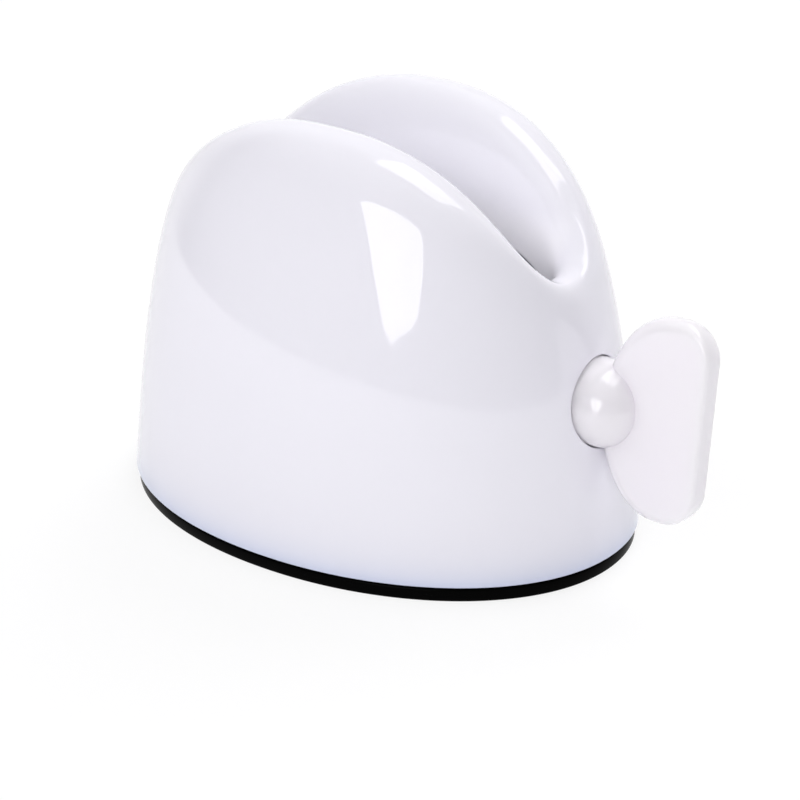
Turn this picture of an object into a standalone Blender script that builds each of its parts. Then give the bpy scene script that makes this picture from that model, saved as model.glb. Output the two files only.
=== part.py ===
"""Toothpaste tube squeezer.

An oval dome stands on a black mat. A long slot runs over its top, and the tail of a tube goes down
through it into a split rod, which a clear key at the +X end turns. The origin is the centre of the
mat's underside, X runs along the slot and Z is up. All lengths are in metres.
"""
import math

import bmesh
import bpy
import numpy as np
from mathutils import Matrix, Vector

# Slot: its clear length and width, and how its walls turn down inside from the crest
SLOT_LENGTH = 0.0570
SLOT_WIDTH = 0.0130
SLOT_SQUARENESS = 3.5
SLOT_DEPTH = 0.0180
LIP_END_RUN = 0.0048
LIP_SIDE_RUN = 0.0068
LIP_END_DEPTH = 0.0056
LIP_END_FULLNESS = 3.2
LIP_SIDE_FULLNESS = 2.2
LIP_OVER_POST = 0.0041
CREST_SQUARENESS = 2.59

# Dome: how far the walls run in from the rim to the crest, their shape, and the crest's arch
END_RUN = 0.0087
SIDE_RUN = 0.0172
RIM_SQUARENESS = 2.05
SIDE_LEAN = 0.345
SIDE_FULLNESS = 2.79
END_LEAN = 0.37
END_FULLNESS = 2.02
ARCH_RISE = 0.0200
ARCH_OVERHANG = 0.0093
ARCH_POWER = 2.27
ARCH_ROOT = 2.23
WALL = 0.0022

# Key: domed hub and D-shaped plate
AXIS_HEIGHT = 0.0261
KEY_TILT = math.radians(7.0)
HUB_RADIUS = 0.00645
HUB_PROUD = 0.0004
HUB_HOLE_CLEARANCE = 0.0004
PLATE_BELLY = 0.0104
PLATE_FLAT = 0.0017
PLATE_CORNER = 0.0046
PLATE_HALF_HEIGHT = 0.0153
PLATE_THICKNESS = 0.0037
PLATE_EDGE_RADIUS = 0.0013
PLATE_WALL_GAP = 0.0004

# Split rod between the key and the far end
ROD_RADIUS = 0.0050
ROD_TIP_CHAMFER = 0.0008
ROD_PROUD_OF_POST = 0.0010
COLLAR_LIP = 0.0013
COLLAR_WIDTH = 0.0015
SLIT_WIDTH = 0.0022
SLIT_END_LAND = 0.0012
TANG_WIDTH = 0.0050
TANG_LENGTH = 0.0046

# Mat, cover and posts
MAT_THICKNESS = 0.0021
MAT_INSET = 0.00045
MAT_EDGE_RADIUS = 0.0004
COVER_THICKNESS = 0.0022
POST_THICKNESS = 0.0030
POST_EYE_WALL = 0.0023
POST_WALL_GAP = 0.0012
GUSSET_THICKNESS = 0.0016
GUSSET_FOOT = 0.0032
GUSSET_HEIGHT = 0.0120

# Screws, and the cups and bosses that hold them
SCREW_ANGLE = math.radians(45.0)
SCREW_HEAD_RADIUS = 0.0027
SCREW_HEAD_HEIGHT = 0.0015
SCREW_SHANK_RADIUS = 0.0014
SCREW_LENGTH = 0.0080
SCREW_DRIVE_RADIUS = 0.0012
SCREW_DRIVE_DEPTH = 0.0008
SCREW_POINT_LENGTH = 0.0014
CUP_WALL = 0.0012
CUP_FLOOR = 0.0014
BOSS_WALL = 0.0018
BOSS_ROOF = 0.0020
BOSS_WALL_GAP = 0.0010
WEB_THICKNESS = 0.0016

# Gap between pieces that touch
FIT_GAP = 0.0003

# Facets
OUTLINE_STEPS = 64
WALL_ROWS = 12
LIP_ROWS = 8
ROUND_STEPS = 32
SCREW_STEPS = 16
DRIVE_SIDES = 6
ARC_STEPS = 6

# Sizes and places that follow from the ones above
CREST_LENGTH = SLOT_LENGTH + 2.0 * LIP_END_RUN
CREST_SPACING = SLOT_WIDTH + 2.0 * LIP_SIDE_RUN
RIM_LENGTH = CREST_LENGTH + 2.0 * END_RUN
RIM_WIDTH = CREST_SPACING + 2.0 * SIDE_RUN
SHELL_BOTTOM = MAT_THICKNESS + FIT_GAP
COVER_TOP = SHELL_BOTTOM + COVER_THICKNESS
BORE_RADIUS = ROD_RADIUS + FIT_GAP
POST_HEAD_RADIUS = BORE_RADIUS + POST_EYE_WALL
POST_TOP = AXIS_HEIGHT + POST_HEAD_RADIUS
SLOT_END_BOTTOM = POST_TOP + LIP_OVER_POST
CREST_END_HEIGHT = SLOT_END_BOTTOM + LIP_END_DEPTH
CREST_HEIGHT = CREST_END_HEIGHT + ARCH_RISE
SCREW_SEAT = SHELL_BOTTOM + FIT_GAP + SCREW_HEAD_HEIGHT + FIT_GAP
CUP_TOP = SCREW_SEAT + CUP_FLOOR
CUP_RADIUS = SCREW_HEAD_RADIUS + FIT_GAP + CUP_WALL
BOSS_BOTTOM = CUP_TOP + FIT_GAP
PILOT_RADIUS = SCREW_SHANK_RADIUS + FIT_GAP
BOSS_RADIUS = PILOT_RADIUS + BOSS_WALL
SCREW_TIP = SCREW_SEAT - FIT_GAP + SCREW_LENGTH
PILOT_TOP = SCREW_TIP + FIT_GAP
BOSS_TOP = PILOT_TOP + BOSS_ROOF


def signed_power(value, power):
    """Raise the size of a value to a power and keep its sign."""
    return np.sign(value) * np.abs(value) ** power


def oval(length, width, squareness, angle):
    """Superellipse of a length and width: x and y at each angle parameter."""
    x = 0.5 * length * signed_power(np.cos(angle), 2.0 / squareness)
    y = 0.5 * width * signed_power(np.sin(angle), 2.0 / squareness)
    return np.stack([x, y], axis=-1)


def outline_angles(start=0.0):
    """Angle parameters of the meridians round the body, from a start."""
    return start + np.arange(OUTLINE_STEPS) * 2.0 * np.pi / OUTLINE_STEPS


def arch(along):
    """Height of the crest at a distance along the slot from its middle."""
    half_span = CREST_LENGTH / 2.0 + ARCH_OVERHANG

    def bow(x):
        return (1.0 - (np.abs(x) / half_span) ** ARCH_POWER) ** (1.0 / ARCH_ROOT)

    end = bow(CREST_LENGTH / 2.0)
    return CREST_END_HEIGHT + ARCH_RISE * (bow(along) - end) / (1.0 - end)


def crest_line(angle):
    """Plan of the crest round the slot's mouth, and its height, at each angle."""
    crest = oval(CREST_LENGTH, CREST_SPACING, CREST_SQUARENESS, angle)
    return crest, arch(crest[:, 0])


def blend(angle, at_end, at_side):
    """Go from the value at the body's ends to the one at its sides."""
    side = np.sin(angle) ** 2
    return at_side * side + at_end * (1.0 - side)


def wall_plan(angle, rise):
    """Plan of the outer wall at a share of its rise, which may differ for each angle.

    The wall runs in from the rim to the crest: a straight lean, plus a superellipse quadrant that
    keeps it upright low down and rounds it over at the top.
    """
    lean = blend(angle, END_LEAN, SIDE_LEAN)
    fullness = blend(angle, END_FULLNESS, SIDE_FULLNESS)
    upright_part = (1.0 - rise ** fullness) ** (1.0 / fullness)
    inward = lean * rise + (1.0 - lean) * (1.0 - upright_part)
    rim = oval(RIM_LENGTH, RIM_WIDTH, RIM_SQUARENESS, angle)
    crest, _ = crest_line(angle)
    return rim + (crest - rim) * inward[:, None]


def outer_skin():
    """Rows of points from the rim up the wall, over the crest and down into the slot."""
    angle = outline_angles()
    crest, top = crest_line(angle)
    fullness = blend(angle, END_FULLNESS, SIDE_FULLNESS)
    rows = []
    for sweep in np.linspace(0.0, np.pi / 2.0, WALL_ROWS + 1):
        rise = np.sin(sweep) ** (2.0 / fullness)
        height = SHELL_BOTTOM + (top - SHELL_BOTTOM) * rise
        rows.append(np.column_stack([wall_plan(angle, rise), height]))
    slot = oval(SLOT_LENGTH, SLOT_WIDTH, SLOT_SQUARENESS, angle)
    bottom = blend(angle, SLOT_END_BOTTOM, CREST_HEIGHT - SLOT_DEPTH)
    fullness = blend(angle, LIP_END_FULLNESS, LIP_SIDE_FULLNESS)
    for sweep in np.linspace(0.0, np.pi / 2.0, LIP_ROWS + 1)[1:]:
        inward = np.sin(sweep) ** (2.0 / fullness)
        drop = 1.0 - np.cos(sweep) ** (2.0 / fullness)
        plan = crest + (slot - crest) * inward[:, None]
        rows.append(np.column_stack([plan, top - (top - bottom) * drop]))
    return np.array(rows)


def skin_normals(rows):
    """Unit normals of a grid of rows that closes round each row."""
    around = np.roll(rows, -1, axis=1) - np.roll(rows, 1, axis=1)
    upward = np.gradient(rows, axis=0)
    normal = np.cross(around, upward)
    return normal / np.linalg.norm(normal, axis=-1, keepdims=True)


def inset_plan(plan, inset):
    """Closed plan outline moved inward by an inset."""
    tangent = np.roll(plan, -1, axis=0) - np.roll(plan, 1, axis=0)
    outward = np.column_stack([tangent[:, 1], -tangent[:, 0]])
    outward /= np.linalg.norm(outward, axis=1, keepdims=True)
    return plan - outward * inset


def wall_outline(height, inset, start=0.0):
    """Plan outline of the wall at a height, moved inward by an inset."""
    angle = outline_angles(start)
    _, top = crest_line(angle)
    rise = (height - SHELL_BOTTOM) / (top - SHELL_BOTTOM)
    return inset_plan(wall_plan(angle, rise), inset)


def end_wall_x(height):
    """Outer face of the end wall above the middle line, at a height."""
    return float(wall_outline(height, 0.0)[0, 0])


def layer(plan, height):
    """Plan outline at one height."""
    return np.column_stack([plan, np.full(len(plan), height)])


def material(name, color, roughness, alpha=1.0):
    """Principled material of one plain colour."""
    made = bpy.data.materials.new(name)
    made.use_nodes = True
    shader = made.node_tree.nodes["Principled BSDF"]
    shader.inputs["Base Color"].default_value = (*color, 1.0)
    shader.inputs["Roughness"].default_value = roughness
    shader.inputs["Metallic"].default_value = 0.0
    shader.inputs["Alpha"].default_value = alpha
    return made


def add_object(name, mesh, made_material=None):
    """Put a mesh into the scene as one object."""
    item = bpy.data.objects.new(name, mesh)
    bpy.context.scene.collection.objects.link(item)
    if made_material is not None:
        mesh.materials.append(made_material)
    return item


def mesh_from(name, work):
    """Turn a bmesh into a mesh with its faces pointing out."""
    bmesh.ops.recalc_face_normals(work, faces=work.faces)
    mesh = bpy.data.meshes.new(name)
    work.to_mesh(mesh)
    work.free()
    return mesh


def guide(name, mesh):
    """An object that only shapes others."""
    item = add_object(name, mesh)
    item.hide_render = True
    item.display_type = "WIRE"
    return item


def boolean(item, other, operation):
    """Join, cut or intersect an object with another."""
    step = item.modifiers.new(operation.title() + "_" + other.name, "BOOLEAN")
    step.operation = operation
    step.solver = "EXACT"
    step.object = other


def smooth(mesh, degrees=35.0):
    """Shade a mesh smooth, with sharp edges where its faces turn more."""
    mesh.shade_smooth()
    mesh.set_sharp_from_angle(angle=math.radians(degrees))


def lofted(name, rings, closed=False):
    """Solid through rings of points: capped at both ends, or closed round on itself."""
    work = bmesh.new()
    loops = [[work.verts.new(point) for point in ring] for ring in rings]
    pairs = list(zip(loops, loops[1:]))
    if closed:
        pairs.append((loops[-1], loops[0]))
    for lower, upper in pairs:
        count = len(lower)
        for place in range(count):
            after = (place + 1) % count
            work.faces.new([lower[place], lower[after], upper[after], upper[place]])
    if not closed:
        work.faces.new(loops[0][::-1])
        work.faces.new(loops[-1])
    return mesh_from(name, work)


def turned(name, profile, steps, axis_matrix):
    """Solid of revolution from pairs of distance along the axis and radius, capped at its ends."""
    turns = [2.0 * math.pi * step / steps for step in range(steps)]
    circle = [Vector((math.cos(turn), math.sin(turn), 0.0)) for turn in turns]
    rings = []
    for along, radius in profile:
        centre = Vector((0.0, 0.0, along))
        rings.append([axis_matrix @ (centre + spoke * radius) for spoke in circle])
    return lofted(name, rings)


def upright(x, y):
    """Frame whose axis stands upright at a place."""
    return Matrix.Translation((x, y, 0.0))


def lying():
    """Frame whose axis runs along +X on the key's axis."""
    return Matrix.Translation((0.0, 0.0, AXIS_HEIGHT)) @ Matrix.Rotation(math.pi / 2.0, 4, "Y")


def box(name, low, high):
    """Box between two corners."""
    (x0, y0, z0), (x1, y1, z1) = low, high
    bottom = [(x0, y0, z0), (x1, y0, z0), (x1, y1, z0), (x0, y1, z0)]
    top = [(x0, y0, z1), (x1, y0, z1), (x1, y1, z1), (x0, y1, z1)]
    return lofted(name, [bottom, top])


def tilt_about_axis(mesh):
    """Turn a mesh about the key's axis by the tilt that the key rests at."""
    centre = Matrix.Translation((0.0, 0.0, AXIS_HEIGHT))
    mesh.transform(centre @ Matrix.Rotation(-KEY_TILT, 4, "X") @ centre.inverted())


def hang_on_axis(item):
    """Give an object its origin on the key's axis without moving its shape."""
    item.data.transform(Matrix.Translation((0.0, 0.0, -AXIS_HEIGHT)))
    item.location = (0.0, 0.0, AXIS_HEIGHT)


def screw_places():
    """Centres of the four screws, each beside the wall that its boss is webbed to."""
    inset = WALL + BOSS_WALL_GAP + CUP_RADIUS
    angles = (SCREW_ANGLE, math.pi - SCREW_ANGLE, math.pi + SCREW_ANGLE, -SCREW_ANGLE)
    return [wall_outline(BOSS_TOP, inset, angle)[0] for angle in angles]


def boss_column(number, centre):
    """One screw boss with the web that ties it to the wall, cut off inside the wall."""
    profile = [(BOSS_BOTTOM, BOSS_RADIUS), (BOSS_TOP, BOSS_RADIUS)]
    column = guide(f"boss_{number}", turned("boss", profile, SCREW_STEPS, upright(*centre)))
    reach = BOSS_RADIUS + BOSS_WALL_GAP + CUP_RADIUS + WALL
    web_mesh = box(
        "web",
        (0.0, -WEB_THICKNESS / 2.0, BOSS_BOTTOM + FIT_GAP),
        (reach, WEB_THICKNESS / 2.0, BOSS_TOP - FIT_GAP),
    )
    angle = math.atan2(centre[1], centre[0])
    web_mesh.transform(upright(*centre) @ Matrix.Rotation(angle, 4, "Z"))
    boolean(column, guide(f"web_{number}", web_mesh), "UNION")
    return column


def inside_wall():
    """Solid that ends half way into the wall, from the rim to above the bosses."""
    heights = np.linspace(SHELL_BOTTOM, BOSS_TOP + BOSS_ROOF, ARC_STEPS)
    rings = [layer(wall_outline(height, WALL / 2.0), height) for height in heights]
    return guide("inside_wall", lofted("inside_wall", rings))


def body_shell(white):
    """White dome: one skin from the rim over the crest into the slot, with its bosses and key hole."""
    outer = outer_skin()
    inner = outer - skin_normals(outer) * WALL
    inner[0, :, 2] = SHELL_BOTTOM
    inner[-1, :, 2] = outer[-1, :, 2]
    rings = list(outer) + list(inner[::-1])
    shell = add_object("body_shell", lofted("body_shell", rings, closed=True), white)
    limit = inside_wall()
    for number, centre in enumerate(screw_places(), start=1):
        column = boss_column(number, centre)
        boolean(column, limit, "INTERSECT")
        boolean(shell, column, "UNION")
        profile = [(BOSS_BOTTOM - BOSS_ROOF, PILOT_RADIUS), (PILOT_TOP, PILOT_RADIUS)]
        pilot = turned("pilot", profile, SCREW_STEPS, upright(*centre))
        boolean(shell, guide(f"pilot_{number}", pilot), "DIFFERENCE")
    hole_radius = HUB_RADIUS + HUB_HOLE_CLEARANCE
    profile = [(post_outer_x(), hole_radius), (RIM_LENGTH / 2.0 + WALL, hole_radius)]
    hole = turned("key_hole", profile, ROUND_STEPS, lying())
    boolean(shell, guide("key_hole", hole), "DIFFERENCE")
    smooth(shell.data)
    return shell


def post_outer_x():
    """Outer face of the bearing posts, clear of the end wall at the height of their heads."""
    return end_wall_x(POST_TOP) - WALL - POST_WALL_GAP


def post_inner_x():
    """Inner face of the bearing posts."""
    return post_outer_x() - POST_THICKNESS


def bearing_post(side):
    """Upright with a round head, at the +X or -X end, from inside the cover's plate."""
    foot = COVER_TOP - COVER_THICKNESS / 2.0
    outline = [(-POST_HEAD_RADIUS, foot), (POST_HEAD_RADIUS, foot)]
    for step in range(2 * ARC_STEPS + 1):
        turn = math.pi * step / (2 * ARC_STEPS)
        y = POST_HEAD_RADIUS * math.cos(turn)
        outline.append((y, AXIS_HEIGHT + POST_HEAD_RADIUS * math.sin(turn)))
    rings = [[(side * x, y, z) for y, z in outline] for x in (post_inner_x(), post_outer_x())]
    label = "key_end_post" if side > 0 else "far_end_post"
    return guide(label, lofted(label, rings))


def post_gusset(side):
    """Triangular rib that props a post from outside."""
    foot = COVER_TOP - COVER_THICKNESS / 2.0
    root = post_outer_x() - POST_THICKNESS / 2.0
    toe = post_outer_x() + GUSSET_FOOT
    outline = [(root, foot), (toe, foot), (toe, COVER_TOP), (root, COVER_TOP + GUSSET_HEIGHT)]
    half = GUSSET_THICKNESS / 2.0
    rings = [[(side * x, y, z) for x, z in outline] for y in (-half, half)]
    label = "key_end_gusset" if side > 0 else "far_end_gusset"
    return guide(label, lofted(label, rings))


def base_cover(pale):
    """Plate that closes the bottom inside the rim, with both bearing posts and four screw cups."""
    plan = wall_outline(COVER_TOP, WALL + FIT_GAP)
    rings = [layer(plan, SHELL_BOTTOM), layer(plan, COVER_TOP)]
    cover = add_object("base_cover", lofted("base_cover", rings), pale)
    for side in (1.0, -1.0):
        boolean(cover, bearing_post(side), "UNION")
        boolean(cover, post_gusset(side), "UNION")
    below = SHELL_BOTTOM - COVER_THICKNESS
    middle = COVER_TOP - COVER_THICKNESS / 2.0
    for number, centre in enumerate(screw_places(), start=1):
        frame = upright(*centre)
        cup = turned("cup", [(middle, CUP_RADIUS), (CUP_TOP, CUP_RADIUS)], SCREW_STEPS, frame)
        boolean(cover, guide(f"cup_{number}", cup), "UNION")
        head = SCREW_HEAD_RADIUS + FIT_GAP
        profile = [
            (below, head),
            (SCREW_SEAT, head),
            (SCREW_SEAT, PILOT_RADIUS),
            (BOSS_BOTTOM, PILOT_RADIUS),
        ]
        cup_bore = turned("cup_bore", profile, SCREW_STEPS, frame)
        boolean(cover, guide(f"cup_bore_{number}", cup_bore), "DIFFERENCE")
    reach = post_outer_x() + POST_WALL_GAP
    bore = turned("rod_bores", [(-reach, BORE_RADIUS), (reach, BORE_RADIUS)], ROUND_STEPS, lying())
    boolean(cover, guide("rod_bores", bore), "DIFFERENCE")
    smooth(cover.data)
    return cover


def non_slip_pad(rubber):
    """Black mat that the whole body stands on, its edges rounded."""
    plan = wall_outline(SHELL_BOTTOM, 0.0)
    rings = []
    for centre_height, first, last in (
        (MAT_EDGE_RADIUS, -math.pi / 2.0, 0.0),
        (MAT_THICKNESS - MAT_EDGE_RADIUS, 0.0, math.pi / 2.0),
    ):
        for turn in np.linspace(first, last, ARC_STEPS // 2):
            inset = MAT_INSET + MAT_EDGE_RADIUS * (1.0 - math.cos(turn))
            height = centre_height + MAT_EDGE_RADIUS * math.sin(turn)
            rings.append(layer(inset_plan(plan, inset), height))
    pad = add_object("non_slip_pad", lofted("non_slip_pad", rings), rubber)
    smooth(pad.data)
    return pad


def plate_middle_x():
    """Where the plate's belly ends and its flat begins, set so that the belly clears the end wall.

    The wall is widest at its foot, so the belly's lower half is the one that could touch it.
    """
    drop = np.linspace(HUB_RADIUS, PLATE_HALF_HEIGHT, OUTLINE_STEPS)
    belly = PLATE_BELLY * np.sqrt(1.0 - (drop / PLATE_HALF_HEIGHT) ** 2)
    wall = np.array([end_wall_x(AXIS_HEIGHT - below) for below in drop])
    return float(np.max(wall + belly)) + PLATE_WALL_GAP


def plate_outline():
    """D outline of the key's plate as x and height over the axis, anticlockwise from below."""
    middle_x = plate_middle_x()
    corner_x = middle_x + PLATE_FLAT
    corner_z = PLATE_HALF_HEIGHT - PLATE_CORNER
    points = []
    for sign, first in ((-1.0, -math.pi / 2.0), (1.0, 0.0)):
        for step in range(ARC_STEPS + 1):
            turn = first + math.pi / 2.0 * step / ARC_STEPS
            x = corner_x + PLATE_CORNER * math.cos(turn)
            points.append((x, sign * corner_z + PLATE_CORNER * math.sin(turn)))
    belly_steps = 4 * ARC_STEPS
    for step in range(belly_steps + 1):
        turn = math.pi / 2.0 + math.pi * step / belly_steps
        points.append((middle_x + PLATE_BELLY * math.cos(turn), PLATE_HALF_HEIGHT * math.sin(turn)))
    return points


def key_plate():
    """D-shaped plate on the key's axis with rounded edges."""
    half = PLATE_THICKNESS / 2.0
    outline = plate_outline()
    rings = [[(x, y, AXIS_HEIGHT + z) for x, z in outline] for y in (-half, half)]
    plate = guide("key_plate", lofted("key_plate", rings))
    rounding = plate.modifiers.new("edge", "BEVEL")
    rounding.width = PLATE_EDGE_RADIUS
    rounding.segments = ARC_STEPS // 2
    rounding.limit_method = "ANGLE"
    rounding.angle_limit = math.radians(60.0)
    return plate


def dome_centre_x():
    """Centre of the hub's dome, a little proud of the end wall's outer face."""
    return end_wall_x(AXIS_HEIGHT) + HUB_PROUD


def hub_back_x():
    """Back face of the hub, a gap away from the key-end post."""
    return post_outer_x() + FIT_GAP


def key_handle(clear):
    """Clear key: domed hub in the wall's hole, D-shaped plate, and a square socket for the rod."""
    centre_x = dome_centre_x()
    profile = [(hub_back_x(), HUB_RADIUS), (centre_x, HUB_RADIUS)]
    dome_steps = 2 * ARC_STEPS
    for step in range(1, dome_steps):
        turn = math.pi / 2.0 * step / dome_steps
        profile.append((centre_x + HUB_RADIUS * math.sin(turn), HUB_RADIUS * math.cos(turn)))
    handle = add_object("key_handle", turned("key_handle", profile, ROUND_STEPS, lying()), clear)
    boolean(handle, key_plate(), "UNION")
    socket_half = TANG_WIDTH / 2.0 + FIT_GAP
    socket = box(
        "socket",
        (hub_back_x() - POST_WALL_GAP, -socket_half, AXIS_HEIGHT - socket_half),
        (hub_back_x() + TANG_LENGTH + FIT_GAP, socket_half, AXIS_HEIGHT + socket_half),
    )
    boolean(handle, guide("socket", socket), "DIFFERENCE")
    return handle


def winding_rod(clear):
    """Split rod: round in both posts, slit between them, with a collar that stops it from pulling out
    through the key-end post and a square tang in the hub."""
    far_end = -(post_outer_x() + ROD_PROUD_OF_POST)
    near_end = hub_back_x() - FIT_GAP
    collar_end = post_inner_x() - FIT_GAP
    collar_start = collar_end - COLLAR_WIDTH
    profile = [
        (far_end, ROD_RADIUS - ROD_TIP_CHAMFER),
        (far_end + ROD_TIP_CHAMFER, ROD_RADIUS),
        (collar_start, ROD_RADIUS),
        (collar_start, BORE_RADIUS + COLLAR_LIP),
        (collar_end, BORE_RADIUS + COLLAR_LIP),
        (collar_end, ROD_RADIUS),
        (near_end, ROD_RADIUS),
    ]
    rod = add_object("winding_rod", turned("winding_rod", profile, ROUND_STEPS, lying()), clear)
    half = TANG_WIDTH / 2.0
    tang = box(
        "tang",
        (near_end - POST_THICKNESS, -half, AXIS_HEIGHT - half),
        (hub_back_x() + TANG_LENGTH, half, AXIS_HEIGHT + half),
    )
    boolean(rod, guide("tang", tang), "UNION")
    slit = box(
        "slit",
        (-(post_inner_x() - SLIT_END_LAND), -SLIT_WIDTH / 2.0, AXIS_HEIGHT - 2.0 * ROD_RADIUS),
        (collar_start - SLIT_END_LAND, SLIT_WIDTH / 2.0, AXIS_HEIGHT + 2.0 * ROD_RADIUS),
    )
    boolean(rod, guide("slit", slit), "DIFFERENCE")
    return rod


def base_screw(number, centre, steel):
    """Self-tapping screw, head down in its cup and shank up in the boss."""
    shoulder = SCREW_SEAT - FIT_GAP
    profile = [
        (shoulder - SCREW_HEAD_HEIGHT, SCREW_HEAD_RADIUS - FIT_GAP),
        (shoulder - SCREW_HEAD_HEIGHT + FIT_GAP, SCREW_HEAD_RADIUS),
        (shoulder, SCREW_HEAD_RADIUS),
        (shoulder, SCREW_SHANK_RADIUS),
        (SCREW_TIP - SCREW_POINT_LENGTH, SCREW_SHANK_RADIUS),
        (SCREW_TIP, SCREW_SHANK_RADIUS / 2.0),
    ]
    name = f"base_screw_{number}"
    frame = upright(*centre)
    screw = add_object(name, turned(name, profile, SCREW_STEPS, frame), steel)
    low = shoulder - SCREW_HEAD_HEIGHT
    reach = SCREW_DRIVE_DEPTH
    profile = [(low - reach, SCREW_DRIVE_RADIUS), (low + reach, SCREW_DRIVE_RADIUS)]
    drive = turned("drive", profile, DRIVE_SIDES, frame)
    boolean(screw, guide(f"drive_{number}", drive), "DIFFERENCE")
    return screw


def tilt_key(handle, rod):
    """Rest the key and everything that shapes it at the tilt of the photograph."""
    for label in ("key_plate", "socket", "tang", "slit"):
        tilt_about_axis(bpy.data.objects[label].data)
    for item in (handle, rod):
        tilt_about_axis(item.data)
        hang_on_axis(item)
        smooth(item.data)


def build():
    """Make every piece."""
    for item in list(bpy.data.objects):
        bpy.data.objects.remove(item)
    white = material("white_abs", (0.84, 0.84, 0.88), 0.12)
    clear = material("clear_plastic", (0.90, 0.88, 0.90), 0.10, alpha=0.8)
    pale = material("pale_abs", (0.78, 0.78, 0.80), 0.35)
    rubber = material("black_rubber", (0.01, 0.01, 0.01), 0.45)
    steel = material("zinc_steel", (0.55, 0.55, 0.56), 0.35)
    steel.node_tree.nodes["Principled BSDF"].inputs["Metallic"].default_value = 1.0
    body_shell(white)
    base_cover(pale)
    non_slip_pad(rubber)
    handle = key_handle(clear)
    rod = winding_rod(clear)
    tilt_key(handle, rod)
    for number, centre in enumerate(screw_places(), start=1):
        base_screw(number, centre, steel)


build()
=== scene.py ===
# %% [markdown]
# # A toothpaste tube squeezer, dressed over its CAD frame
#
# The frame is the imported model: plain solids in metres, with X along the slot, Y to the back and
# Z up. Every piece made here is worked out in that same frame, so nothing has to be fitted into
# place. The first cell loads the frame, and a solid's box is read from it where a piece needs it.

import math

import bpy
import numpy as np
from mathutils import Matrix, Vector


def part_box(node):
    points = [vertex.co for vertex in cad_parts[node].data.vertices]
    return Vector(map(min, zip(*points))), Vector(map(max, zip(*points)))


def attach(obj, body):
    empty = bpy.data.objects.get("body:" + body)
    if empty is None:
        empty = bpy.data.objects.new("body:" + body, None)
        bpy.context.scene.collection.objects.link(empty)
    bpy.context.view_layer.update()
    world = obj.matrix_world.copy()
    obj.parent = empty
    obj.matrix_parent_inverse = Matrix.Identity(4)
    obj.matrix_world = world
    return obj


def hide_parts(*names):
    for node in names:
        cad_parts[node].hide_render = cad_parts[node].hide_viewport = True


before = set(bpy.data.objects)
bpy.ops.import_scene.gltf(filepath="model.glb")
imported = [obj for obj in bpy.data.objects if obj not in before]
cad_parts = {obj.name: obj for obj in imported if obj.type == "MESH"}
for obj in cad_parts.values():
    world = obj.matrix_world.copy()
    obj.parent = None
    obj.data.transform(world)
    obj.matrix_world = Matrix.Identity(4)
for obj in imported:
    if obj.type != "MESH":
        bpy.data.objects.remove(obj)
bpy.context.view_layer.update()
print("nodes:", sorted(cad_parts))

# %% [markdown]
# ## The camera
#
# The photograph was taken from the key's side, a little from above, with a long lens. A camera is
# placed by two angles, a distance and the point it looks at. The angles and the distance were
# fitted to the outline of the dome and of the mat, so the solids fall on their places in the
# picture.

# %% Camera
VIEW_AZIMUTH = math.radians(35.793)
VIEW_ELEVATION = math.radians(24.337)
VIEW_DISTANCE = 0.41504
VIEW_TARGET = Vector((-0.001594, 0.006924, 0.013110))
FOCAL_LENGTH_MM = 120.48
SENSOR_WIDTH_MM = 36.0


def direction(azimuth, elevation):
    """Unit vector to a place seen from the object: azimuth from the front (-Y) towards +X."""
    level = math.cos(elevation)
    return Vector((math.sin(azimuth) * level, -math.cos(azimuth) * level, math.sin(elevation)))


def aimed(back):
    """Rotation that turns +Z to a vector and keeps the X axis level."""
    right = Vector((0.0, 0.0, 1.0)).cross(back).normalized()
    upward = back.cross(right)
    return Matrix((right, upward, back)).transposed().to_4x4()


camera_data = bpy.data.cameras.new("camera")
camera_data.lens = FOCAL_LENGTH_MM
camera_data.sensor_width = SENSOR_WIDTH_MM
camera = bpy.data.objects.new("camera", camera_data)
bpy.context.scene.collection.objects.link(camera)
view_back = direction(VIEW_AZIMUTH, VIEW_ELEVATION)
camera.matrix_world = Matrix.Translation(VIEW_TARGET + view_back * VIEW_DISTANCE) @ aimed(view_back)
bpy.context.scene.camera = camera
print("camera stands at", tuple(round(value, 4) for value in camera.matrix_world.translation))

# %% [markdown]
# ## Meshes from arrays
#
# A smooth moulding is easiest to describe as a function: two parameters go in, a point comes out.
# The function is worked out for a whole grid at once with numpy, and the grid becomes a mesh.
# Rows of indices say which points are neighbours, so the same helper closes a ring, a tube or a
# patch.

# %% Helpers for grids and pieces
SMOOTH_ANGLE = math.radians(35.0)


def ribbons(rows):
    """Quads between neighbouring rows of point indices, each row closed round on itself."""
    ahead = np.roll(rows, -1, axis=1)
    quads = np.stack([rows[:-1], ahead[:-1], ahead[1:], rows[1:]], axis=-1)
    return quads.reshape(-1, 4)


def index_rows(start, count, width):
    """Rows of consecutive point indices from a start."""
    return start + np.arange(count * width).reshape(count, width)


def signed_volume(points, quads):
    """Volume inside a closed quad mesh, positive when its faces point outwards."""
    a, b, c, d = (points[quads[:, corner]] for corner in range(4))
    first = np.einsum("ij,ij->i", a, np.cross(b, c))
    second = np.einsum("ij,ij->i", a, np.cross(c, d))
    return float((first + second).sum() / 6.0)


def piece(name, points, faces, finish):
    """Mesh object at the origin, shaded smooth except where its faces turn sharply."""
    mesh = bpy.data.meshes.new(name)
    mesh.from_pydata(points, [], faces)
    mesh.shade_smooth()
    mesh.set_sharp_from_angle(angle=SMOOTH_ANGLE)
    mesh.materials.append(finish)
    item = bpy.data.objects.new(name, mesh)
    bpy.context.scene.collection.objects.link(item)
    print(f"{name}: {len(mesh.vertices)} points, {len(mesh.polygons)} faces")
    return item

# %% [markdown]
# ## Shader sums written as sums
#
# A material's pattern is a small calculation. Wiring Math nodes by hand hides it, so a socket is
# wrapped in a class whose operators add the nodes: `0.1 + speckle * 0.05` reads as what it does.
# All other nodes come from one method, which sets a node's options first and then fills its
# sockets.

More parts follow.
